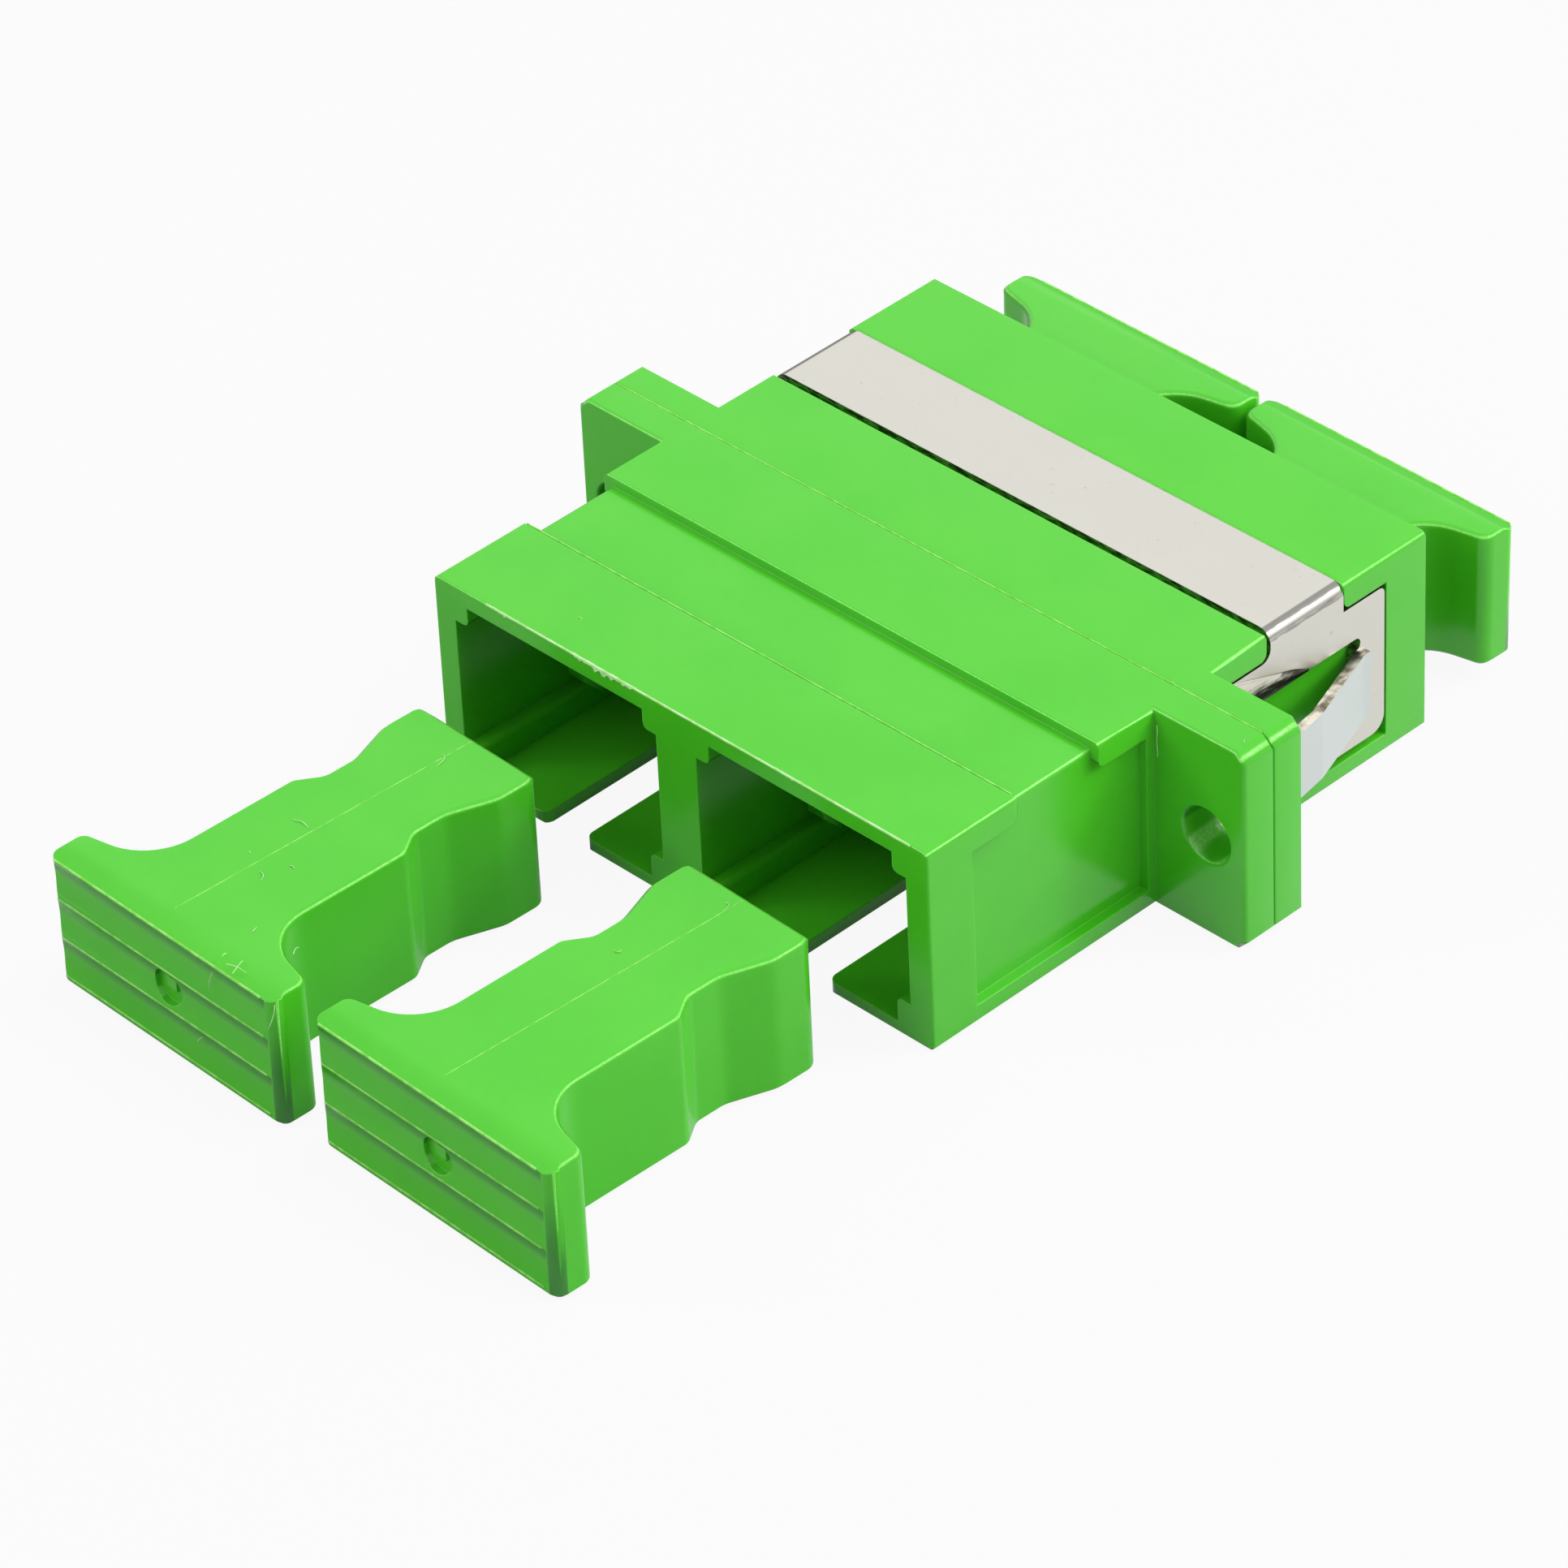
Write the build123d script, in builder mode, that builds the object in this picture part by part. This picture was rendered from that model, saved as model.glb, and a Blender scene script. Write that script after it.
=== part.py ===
"""Duplex fibre adapter: two welded housing halves, latch inserts, sleeves, a mounting clip and four dust caps.

Millimetres. +X runs across the two ports, +Y from the open ports to the side that carries the clip, +Z up.
The origin is the middle of the underside, on the seam between the two housing halves.
"""
import os
from math import cos, radians, sin

from build123d import *

os.makedirs("parts", exist_ok=True)

# Ports
port_pitch = 12.8
port_width = 10.7
port_height = 7.75
guide_width = 0.68
upper_guide_height = 0.85
lower_guide_height = 1.1
guide_round = 0.25
key_slot_width = 2.1
key_slot_end = 4.0
key_slot_round = 0.45

# Housing half
half_length = 13.4
side_wall = 1.12
roof_wall = 0.75
floor_wall = 0.55
body_edge = 0.2
mouth_edge = 0.1
body_width = port_pitch + port_width + 2 * side_wall
body_height = floor_wall + port_height + roof_wall
axis_height = floor_wall + port_height / 2

# Flange half
flange_wing = 4.48
flange_half = 1.6
flange_corner = 0.5
flange_edge = 0.17
seam_chamfer = 0.07
hole_inset = 1.95
hole_diameter = 2.3
hole_edge = 0.12
flange_width = body_width + 2 * flange_wing
hole_spacing = flange_width - 2 * hole_inset

# Sheet metal of the clip, and the groove and pockets that take it
sheet = 0.4
clip_gap = 0.03
clip_margin = 0.1
clip_depth = sheet + clip_gap
groove_floor = body_height - clip_depth
lip_length = 4.65
groove_width = 4.25
step_edge = 0.09
post_width = 2.3
rail_height = 0.87
rib_height = 1.15
rib_round = 0.35
stop_width = 0.4
groove_far = half_length - lip_length
groove_near = groove_far - groove_width

# Split alignment sleeve
sleeve_diameter = 3.2
sleeve_bore = 2.5
sleeve_length = 11.4
sleeve_slit = 0.35
sleeve_gap = 0.05

# Latch insert: plate, sleeve holder and two latch arms
plate_width = 10.1
plate_height = 7.1
plate_thickness = 1.35
plate_gap = 0.05
rim_thickness = 0.9
window_width = 9.5
window_height = 6.4
tube_diameter = 4.3
tube_lip = 0.35
tube_chamfer = 0.25
ferrule_mouth = 2.7
hook_spacing = 7.2
hook_depth = 0.35
hook_length = 1.1
arm_thickness = 0.65
arm_height = 4.8
arm_end = 8.6
arm_corner = 0.7
rim_end = plate_thickness + plate_gap + rim_thickness
tube_end = sleeve_length / 2 + sleeve_gap + tube_lip

# Mounting clip
strap_width = 4.0
bend_radius = 0.6
leg_bottom = 1.26
neck_round = 0.5
leg_top_round = 0.3
leg_bottom_round = 0.7
window_margin = 1.4
window_floor_margin = 0.84
window_roof_margin = 1.6
relief_radius = 0.28
tab_root_margin = 1.62
tab_angle = 19.0
tab_length = 4.0
tip_angle = 9.0
tip_length = 1.6
strap_far = groove_far - clip_gap
strap_near = strap_far - strap_width
leg_rear = half_length - post_width - clip_margin
leg_front = flange_half + stop_width + clip_margin
leg_top = body_height - rib_height - clip_margin
window_front = leg_front + window_margin
window_floor = leg_bottom + window_floor_margin
window_roof = leg_top - window_roof_margin
tab_root = leg_rear - tab_root_margin

# Dust cap, measured from the end of its head
cap_length = 15.55
cap_height = 6.03
cap_edge = 0.22
cap_lead_in = 0.4
head_half_width = 3.29
head_round = 0.7
head_end = 2.0
head_slope_round = 1.6
waist_half_width = 2.57
waist_start = 4.0
waist_round = 1.5
waist_end = 5.5
neck_half_width = 3.24
neck_start = 6.5
neck_step_round = 0.7
collar_rise = 0.7
collar_round = 2.2
grip_gap = 0.15
grip_thickness = 1.7
grip_round = 0.5
grip_back_round = 0.6
bevel_length = 0.9
bevel_drop = 0.3
ridge_spacing = 1.78
scallop_depth = 0.18
scallop_count = 3
scallop_margin = 0.5
gate_diameter = 1.5
gate_depth = 0.2
nub_width = 0.5
nub_height = 0.15
nub_offset = 0.15
cap_bore = 5.3
cap_bore_depth = 3.35
grip_half_width = (port_pitch - grip_gap) / 2
grip_start = cap_length - grip_thickness
neck_end = grip_start - collar_rise

# Where the caps are, with angles in degrees: the front ones lie loose and the rear ones hang in their play
front_cap_reach = 16.6
front_cap_aside = 0.72
front_cap_turn = 1.8
front_cap_lift = 0.05
rear_cap_reach = 2.9
rear_cap_turn = {"left": 0.4, "right": 0.85}
rear_cap_droop = {"left": 0.24, "right": 0.32}
rear_cap_tilt = 0.8

tiny = 0.01


def beyond(edge, reach):
    """Tells whether an edge lies further out than reach from the middle plane."""
    return abs(edge.center().X) > reach


def corner(sketch, x, y):
    """Finds the corner of a sketch that is nearest to a point."""
    return sketch.vertices().sort_by_distance((x, y, 0))[0]


# Front housing half, open towards -Y
with BuildPart() as front_housing:
    with BuildSketch(Plane.XZ):
        with Locations((0, body_height / 2)):
            Rectangle(body_width, body_height)
    extrude(amount=half_length)
    chamfer(front_housing.edges().filter_by(Axis.Y), body_edge)
    chamfer(front_housing.faces().sort_by(Axis.Y)[0].edges(), mouth_edge)

    # Flange half, with its corners cut off and its front edges rounded
    with BuildSketch(Plane.XZ):
        with Locations((0, body_height / 2)):
            Rectangle(flange_width, body_height)
    extrude(amount=flange_half)
    flange_edges = front_housing.edges().filter_by(lambda e: beyond(e, body_width / 2 + tiny))
    chamfer(flange_edges.filter_by(Axis.Y), flange_corner)
    flange_edges = front_housing.edges().filter_by(lambda e: beyond(e, body_width / 2 + tiny))
    chamfer(flange_edges.filter_by_position(Axis.Y, -flange_half - tiny, -flange_half + tiny), flange_edge)
    chamfer(front_housing.edges().filter_by_position(Axis.Y, -tiny, tiny), seam_chamfer)

    # Screw holes through the flange
    with BuildSketch(Plane.XZ):
        with Locations((0, body_height / 2)):
            with GridLocations(hole_spacing, 0, 2, 1):
                Circle(hole_diameter / 2)
    extrude(amount=flange_half, mode=Mode.SUBTRACT)
    rims = front_housing.edges(Select.LAST).filter_by(GeomType.CIRCLE)
    chamfer(rims.group_by(Axis.Y)[0], hole_edge)

    # Groove across the top for the strap of a clip
    with BuildSketch(Plane.XY.offset(body_height)):
        with Locations((0, -(groove_far + groove_near) / 2)):
            Rectangle(body_width, groove_width)
    extrude(amount=-clip_depth, mode=Mode.SUBTRACT)

    # Pocket in each side for a leg of the clip, open to the groove
    rib_bottom = body_height - rib_height
    post_inner = -half_length + post_width
    stop_outer = -flange_half - stop_width
    for side in (-1, 1):
        with BuildSketch(Plane.YZ.offset(side * body_width / 2)) as pocket:
            with BuildLine():
                Polyline(
                    (post_inner, rail_height),
                    (stop_outer, rail_height),
                    (stop_outer, rib_bottom),
                    (-groove_near, rib_bottom),
                    (-groove_near, body_height),
                    (-groove_far, body_height),
                    (-groove_far, rib_bottom),
                    (post_inner, rib_bottom),
                    close=True,
                )
            make_face()
            rib_ends = [corner(pocket, -groove_near, rib_bottom), corner(pocket, -groove_far, rib_bottom)]
            fillet(rib_ends, rib_round)
        extrude(amount=-side * clip_depth, mode=Mode.SUBTRACT)

    # Broken edges of the steps at both sides of the groove
    top_edges = front_housing.edges().filter_by(Axis.X).group_by(Axis.Z)[-1]
    chamfer(top_edges.filter_by_position(Axis.Y, -groove_far - tiny, -groove_near + tiny), step_edge)

    # Rounded corners of the groove under the bends of the clip
    bend_reach = body_width / 2 - clip_depth - tiny
    bend_edges = front_housing.edges().filter_by(Axis.Y).filter_by(lambda e: beyond(e, bend_reach))
    bend_edges = bend_edges.filter_by_position(Axis.Z, groove_floor - tiny, groove_floor + tiny)
    fillet(bend_edges, bend_radius - sheet - clip_gap)

    for side in (-1, 1):
        port_x = side * port_pitch / 2
        # Port with a guide rib in each corner
        with BuildSketch(Plane.XZ.offset(half_length)) as port:
            with Locations((port_x, axis_height)):
                Rectangle(port_width, port_height)
            with Locations((port_x, floor_wall + port_height - upper_guide_height / 2)):
                with GridLocations(port_width - guide_width, 0, 2, 1):
                    Rectangle(guide_width, upper_guide_height, mode=Mode.SUBTRACT)
            with Locations((port_x, floor_wall + lower_guide_height / 2)):
                with GridLocations(port_width - guide_width, 0, 2, 1):
                    Rectangle(guide_width, lower_guide_height, mode=Mode.SUBTRACT)
            fillet(port.vertices().sort_by_distance((port_x, axis_height, 0))[:4], guide_round)
        extrude(amount=-(half_length - rim_end), mode=Mode.SUBTRACT)
        # Window through the rim, and the seat of the insert's plate behind it
        with BuildSketch(Plane.XZ):
            with Locations((port_x, axis_height)):
                Rectangle(window_width, window_height)
        extrude(amount=rim_end, mode=Mode.SUBTRACT)
        with BuildSketch(Plane.XZ):
            with Locations((port_x, axis_height)):
                Rectangle(plate_width + 2 * plate_gap, plate_height + 2 * plate_gap)
        extrude(amount=plate_thickness + plate_gap, mode=Mode.SUBTRACT)
        # Key slot through the floor, with rounded corners at the mouth
        with BuildSketch(Plane.XY) as key_slot:
            with Locations((port_x, -(half_length + key_slot_end) / 2)):
                Rectangle(key_slot_width, half_length - key_slot_end)
        extrude(amount=floor_wall, mode=Mode.SUBTRACT)
        slot_edges = front_housing.edges(Select.LAST).filter_by(Axis.Z)
        fillet(slot_edges.group_by(Axis.Y)[0], key_slot_round)
front_housing.part.label = "front_housing"

# The rear half is the same moulding, turned round
with BuildPart() as rear_housing:
    add(front_housing.part, rotation=(0, 0, 180))
rear_housing.part.label = "rear_housing"

# Mounting clip: one bent strip over the rear half, with a spring tab in each leg
with BuildPart() as mounting_clip:
    with BuildSketch(Plane.XZ.offset(-strap_far)) as strap:
        with Locations((0, body_height)):
            Rectangle(body_width, body_height - leg_top, align=(Align.CENTER, Align.MAX))
        fillet(strap.vertices().group_by(Axis.Y)[-1], bend_radius)
        with BuildSketch(Plane.XZ.offset(-strap_far), mode=Mode.SUBTRACT) as hollow:
            with Locations((0, body_height - sheet)):
                Rectangle(body_width - 2 * sheet, body_height - leg_top, align=(Align.CENTER, Align.MAX))
            fillet(hollow.vertices().group_by(Axis.Y)[-1], bend_radius - sheet)
    extrude(amount=strap_width)

    neck_top = body_height - bend_radius
    for side in (-1, 1):
        leg_face = Plane.YZ.offset(side * body_width / 2)
        # Leg, narrow beside the ribs of the housing and wide below them
        with BuildSketch(leg_face) as leg:
            with BuildLine():
                Polyline(
                    (leg_front, leg_bottom),
                    (leg_rear, leg_bottom),
                    (leg_rear, leg_top),
                    (strap_far, leg_top),
                    (strap_far, neck_top),
                    (strap_near, neck_top),
                    (strap_near, leg_top),
                    (leg_front, leg_top),
                    close=True,
                )
            make_face()
            fillet(corner(leg, leg_rear, leg_bottom), leg_bottom_round)
            fillet(corner(leg, leg_rear, leg_top), leg_top_round)
            fillet(corner(leg, strap_near, leg_top), neck_round)
            # Window that the tab is cut from, with a relief hole at each end of the tab's root
            with Locations((window_front, window_floor)):
                Rectangle(
                    tab_root - window_front,
                    window_roof - window_floor,
                    align=(Align.MIN, Align.MIN),
                    mode=Mode.SUBTRACT,
                )
            with Locations((tab_root, window_floor + relief_radius), (tab_root, window_roof - relief_radius)):
                Circle(relief_radius, mode=Mode.SUBTRACT)
        extrude(amount=-side * sheet)

        # Spring tab, bent outwards from its root and flatter at its tip
        tab_floor = window_floor + 2 * relief_radius
        tab_roof = window_roof - 2 * relief_radius
        root_x = body_width / 2
        crease_x = root_x + tab_length * sin(radians(tab_angle))
        crease_y = tab_root - tab_length * cos(radians(tab_angle))
        tip_x = crease_x + tip_length * sin(radians(tip_angle))
        tip_y = crease_y - tip_length * cos(radians(tip_angle))
        with BuildSketch(Plane.XY.offset(tab_floor)):
            with BuildLine() as outer_line:
                Polyline(
                    (side * root_x, tab_root + sheet),
                    (side * root_x, tab_root),
                    (side * crease_x, crease_y),
                    (side * tip_x, tip_y),
                )
                offset(amount=sheet, side=Side.LEFT if side > 0 else Side.RIGHT)
            make_face()
        extrude(amount=tab_roof - tab_floor)
mounting_clip.part.label = "mounting_clip"

# Latch insert, in a frame of its own: the port's axis is -Y and the seam is Y = 0
arm_inner = hook_spacing / 2 + hook_depth
arm_outer = arm_inner + arm_thickness
with BuildPart() as latch_insert:
    with BuildSketch(Plane.XZ):
        Rectangle(plate_width, plate_height)
    extrude(amount=plate_thickness)
    with BuildSketch(Plane.XZ):
        Circle(tube_diameter / 2)
    extrude(amount=tube_end)
    chamfer(latch_insert.faces().sort_by(Axis.Y)[0].edges(), tube_chamfer)
    with BuildSketch(Plane.XZ):
        Circle(sleeve_diameter / 2 + sleeve_gap)
    extrude(amount=tube_end - tube_lip, mode=Mode.SUBTRACT)
    with BuildSketch(Plane.XZ):
        Circle(ferrule_mouth / 2)
    extrude(amount=tube_end, mode=Mode.SUBTRACT)

    # Latch arms, each with a hook that catches the waist of what is plugged in
    for side in (-1, 1):
        with BuildSketch(Plane.XY) as arm:
            with BuildLine():
                Polyline(
                    (side * arm_outer, 0),
                    (side * arm_outer, -arm_end),
                    (side * (arm_inner - hook_depth / 2), -arm_end),
                    (side * (arm_inner - hook_depth), -arm_end + hook_depth),
                    (side * (arm_inner - hook_depth), -arm_end + hook_length - hook_depth),
                    (side * arm_inner, -arm_end + hook_length),
                    (side * arm_inner, 0),
                    close=True,
                )
            make_face()
        extrude(amount=arm_height / 2, both=True)
    tips = latch_insert.edges().filter_by(Axis.X).group_by(Axis.Y)[0]
    chamfer(tips, arm_corner)

# Split sleeve
with BuildPart() as sleeve:
    with BuildSketch(Plane.XZ):
        Circle(sleeve_diameter / 2)
        Circle(sleeve_bore / 2, mode=Mode.SUBTRACT)
        with Locations((0, sleeve_diameter / 2)):
            Rectangle(sleeve_slit, sleeve_diameter, mode=Mode.SUBTRACT)
    extrude(amount=sleeve_length / 2, both=True)

# Dust cap, in a frame of its own: the head ends at the origin and the grip is towards -Y
scallop_radius = ((ridge_spacing / 2) ** 2 + scallop_depth ** 2) / (2 * scallop_depth)
top_ridge = cap_height / 2 - bevel_drop
scallops_middle = top_ridge - scallop_count * ridge_spacing / 2
with BuildPart() as dust_cap:
    with BuildSketch(Plane.XY.offset(-cap_height / 2)) as plan:
        with BuildLine():
            Polyline(
                (0, 0),
                (head_half_width, 0),
                (head_half_width, -head_end),
                (waist_half_width, -waist_start),
                (waist_half_width, -waist_end),
                (neck_half_width, -neck_start),
                (neck_half_width, -neck_end),
                (grip_half_width, -grip_start),
                (grip_half_width, -cap_length),
                (0, -cap_length),
                close=True,
            )
        make_face()
        fillet(corner(plan, head_half_width, 0), head_round)
        fillet(corner(plan, head_half_width, -head_end), head_slope_round)
        fillet(corner(plan, waist_half_width, -waist_start), waist_round)
        fillet(corner(plan, waist_half_width, -waist_end), neck_step_round)
        fillet(corner(plan, neck_half_width, -neck_start), neck_step_round)
        fillet(corner(plan, neck_half_width, -neck_end), collar_round)
        fillet(corner(plan, grip_half_width, -grip_start), grip_back_round)
        fillet(corner(plan, grip_half_width, -cap_length), grip_round)
        mirror(about=Plane.YZ)
    extrude(amount=cap_height)
    chamfer(dust_cap.faces().filter_by(Axis.Z).edges(), cap_edge)
    # Lead-in above and below the end of the head
    with BuildSketch(Plane.YZ.offset(-head_half_width)):
        with BuildLine():
            Polyline(
                (0, cap_height / 2 - cap_lead_in),
                (-cap_lead_in, cap_height / 2),
                (0, cap_height / 2),
                close=True,
            )
        make_face()
        mirror(about=Plane.XZ)
    extrude(amount=2 * head_half_width, mode=Mode.SUBTRACT)

    # Bevel along the top of the grip
    with BuildSketch(Plane.YZ.offset(-grip_half_width)):
        with BuildLine():
            Polyline(
                (-cap_length + bevel_length, cap_height / 2),
                (-cap_length, top_ridge),
                (-cap_length, cap_height / 2),
                close=True,
            )
        make_face()
    extrude(amount=2 * grip_half_width, mode=Mode.SUBTRACT)

    # Finger scallops across the grip, open at one end
    with BuildSketch(Plane.YZ.offset(-grip_half_width)):
        with Locations((-cap_length + scallop_depth - scallop_radius, scallops_middle)):
            with GridLocations(0, ridge_spacing, 1, scallop_count):
                Circle(scallop_radius)
    extrude(amount=2 * grip_half_width - scallop_margin, mode=Mode.SUBTRACT)

    # Moulding gate in the middle of the grip
    with BuildSketch(Plane.XZ.offset(cap_length)):
        with Locations((0, scallops_middle)):
            Circle(gate_diameter / 2)
    extrude(amount=-scallop_depth - gate_depth, mode=Mode.SUBTRACT)
    with BuildSketch(Plane.XZ.offset(cap_length - scallop_depth - gate_depth)):
        with Locations((nub_offset, scallops_middle + nub_offset)):
            Rectangle(nub_width, nub_width)
    extrude(amount=nub_height)

    # Blind bore that goes over the sleeve holder
    with BuildSketch(Plane.XZ):
        Circle(cap_bore / 2)
    extrude(amount=cap_bore_depth, mode=Mode.SUBTRACT)

# A copy of each repeated piece at each port
pieces = [front_housing.part, rear_housing.part, mounting_clip.part]
for column, side in (("left", -1), ("right", 1)):
    port_x = side * port_pitch / 2
    with BuildPart() as placed_sleeve:
        with Locations((port_x, 0, axis_height)):
            add(sleeve.part)
    placed_sleeve.part.label = f"alignment_sleeve_{column}"
    pieces.append(placed_sleeve.part)
    # The front caps lie on the table before their ports, and the rear caps are on their holders
    front_cap_x = port_x + side * front_cap_aside
    front_cap_z = cap_height / 2 + front_cap_lift
    rear_cap_z = axis_height - rear_cap_droop[column]
    rest = {
        "front": Location((front_cap_x, -front_cap_reach, front_cap_z), (0, 0, -front_cap_turn)),
        "rear": Location((port_x, rear_cap_reach, rear_cap_z), (-rear_cap_tilt, 0, 180 - rear_cap_turn[column])),
    }
    for row, turn in (("front", 0), ("rear", 180)):
        with BuildPart() as placed_insert:
            with Locations(Location((port_x, 0, axis_height), (0, 0, turn))):
                add(latch_insert.part)
        placed_insert.part.label = f"latch_insert_{row}_{column}"
        with BuildPart() as placed_cap:
            with Locations(rest[row]):
                add(dust_cap.part)
        placed_cap.part.label = f"dust_cap_{row}_{column}"
        pieces += [placed_insert.part, placed_cap.part]

for piece in pieces:
    export_step(piece, f"parts/{piece.label}.step")
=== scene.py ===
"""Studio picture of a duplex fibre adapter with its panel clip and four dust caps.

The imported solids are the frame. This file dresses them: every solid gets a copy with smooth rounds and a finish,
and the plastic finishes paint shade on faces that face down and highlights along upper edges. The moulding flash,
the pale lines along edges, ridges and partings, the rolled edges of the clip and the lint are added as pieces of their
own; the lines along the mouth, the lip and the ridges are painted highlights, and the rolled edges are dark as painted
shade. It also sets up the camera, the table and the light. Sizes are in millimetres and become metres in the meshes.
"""

import logging
from dataclasses import dataclass
from enum import Enum
from math import cos, pi, radians, sin

import bpy
from mathutils import Matrix, Vector

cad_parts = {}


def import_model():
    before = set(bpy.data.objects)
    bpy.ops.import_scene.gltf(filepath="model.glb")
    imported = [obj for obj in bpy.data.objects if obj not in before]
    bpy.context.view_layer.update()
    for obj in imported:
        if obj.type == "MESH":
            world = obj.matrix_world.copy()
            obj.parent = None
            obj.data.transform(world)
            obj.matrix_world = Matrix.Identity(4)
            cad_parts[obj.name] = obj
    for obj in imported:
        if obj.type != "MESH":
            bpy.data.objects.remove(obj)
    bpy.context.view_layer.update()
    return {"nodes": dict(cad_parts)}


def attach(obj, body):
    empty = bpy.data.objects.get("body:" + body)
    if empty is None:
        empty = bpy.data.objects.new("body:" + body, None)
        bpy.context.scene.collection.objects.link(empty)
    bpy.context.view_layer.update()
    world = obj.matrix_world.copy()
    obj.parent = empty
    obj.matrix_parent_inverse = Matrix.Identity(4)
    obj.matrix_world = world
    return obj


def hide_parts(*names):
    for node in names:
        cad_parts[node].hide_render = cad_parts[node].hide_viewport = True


LOG = logging.getLogger("adapter")
MM = 0.001
WHITE = (1.0, 1.0, 1.0, 1.0)

Colour = tuple[float, float, float]
Point = tuple[float, float, float]
Threads = tuple[tuple[Point, ...], ...]


class Row(Enum):
    """The two rows of ports."""

    FRONT = "front"
    REAR = "rear"


class Column(Enum):
    """The two ports of a row, with the side of the middle that each is on."""

    LEFT = -1
    RIGHT = 1

    @property
    def word(self) -> str:
        """The column's name in the names of the solids."""
        return self.name.lower()


class Sheet:
    """A node sheet being filled: makes the nodes of one material or sky."""

    def __init__(self, tree: bpy.types.NodeTree) -> None:
        """Start an empty sheet.

        Args:
            tree: The node tree that is filled.
        """
        self.tree = tree
        self.tree.nodes.clear()

    @classmethod
    def of_material(cls, name: str) -> tuple["Sheet", bpy.types.Material]:
        """Start the sheet of a new material.

        Args:
            name: The material's name.

        Returns:
            The sheet and the material.
        """
        material = bpy.data.materials.new(name)
        material.use_nodes = True
        return cls(material.node_tree), material

    def node(self, kind: str, settings: dict | None = None, **inputs: object) -> bpy.types.Node:
        """Add a node, set its properties, then feed its sockets.

        Args:
            kind: The node's type, such as "ShaderNodeTexNoise".
            settings: Properties that are set before the sockets.
            inputs: A value or a Signal for each socket, with spaces in its name written as underscores.

        Returns:
            The new node.
        """
        made = self.tree.nodes.new(kind)
        for key, value in (settings or {}).items():
            setattr(made, key, value)
        for key, value in inputs.items():
            self.feed(self._socket(made, key), value)
        return made

    def signal(self, kind: str, output: str, settings: dict | None = None, **inputs: object) -> "Signal":
        """Add a node and wrap one of its outputs.

        Args:
            kind: The node's type.
            output: The name of the output socket.
            settings: Properties of the node.
            inputs: Values or Signals for its sockets.

        Returns:
            The wrapped output.
        """
        return Signal(self, self.node(kind, settings, **inputs).outputs[output])

    def noise(self, place: "Signal", size: float | Point, detail: float = 2.0, roughness: float = 0.5) -> "Signal":
        """Add noise with round spots, or with stretched ones.

        Args:
            place: The coordinates that it reads.
            size: Width of a spot, in millimetres, or its widths along X, Y and Z.
            detail: Number of its finer layers.
            roughness: Share of each finer layer.

        Returns:
            The noise.
        """
        scale = 1.0
        if isinstance(size, tuple):
            squeeze = tuple(1 / (width * MM) for width in size)
            place = self.signal("ShaderNodeMapping", "Vector", Vector=place, Scale=squeeze)
        else:
            scale = 1 / (size * MM)
        return self.signal(
            "ShaderNodeTexNoise", "Fac", Vector=place, Scale=scale, Detail=detail, Roughness=roughness
        )

    def part(self, vector: "Signal", axis: str) -> "Signal":
        """One of the three numbers of a vector."""
        return self.signal("ShaderNodeSeparateXYZ", axis, Vector=vector)

    def surface(self, settings: dict | None = None, **inputs: object) -> None:
        """Close the sheet with a Principled shader.

        Args:
            settings: Properties of the shader.
            inputs: Values or Signals for its sockets.
        """
        shader = self.signal("ShaderNodeBsdfPrincipled", "BSDF", settings, **inputs)
        self.node("ShaderNodeOutputMaterial", Surface=shader)

    def feed(self, socket: bpy.types.NodeSocket, value: object) -> None:
        """Link a Signal to a socket, or set the socket's own value.

        Args:
            socket: The socket.
            value: The Signal, or the value.
        """
        if isinstance(value, Signal):
            self.tree.links.new(value.socket, socket)
        else:
            socket.default_value = value

    def _socket(self, made: bpy.types.Node, key: str) -> bpy.types.NodeSocket:
        """Find an input of a node.

        Args:
            made: The node.
            key: The input's name, with underscores for its spaces, or its place, as in "at_1".

        Returns:
            The input.
        """
        if key.startswith("at_"):
            return made.inputs[int(key[3:])]
        return made.inputs[key.replace("_", " ")]


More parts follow.
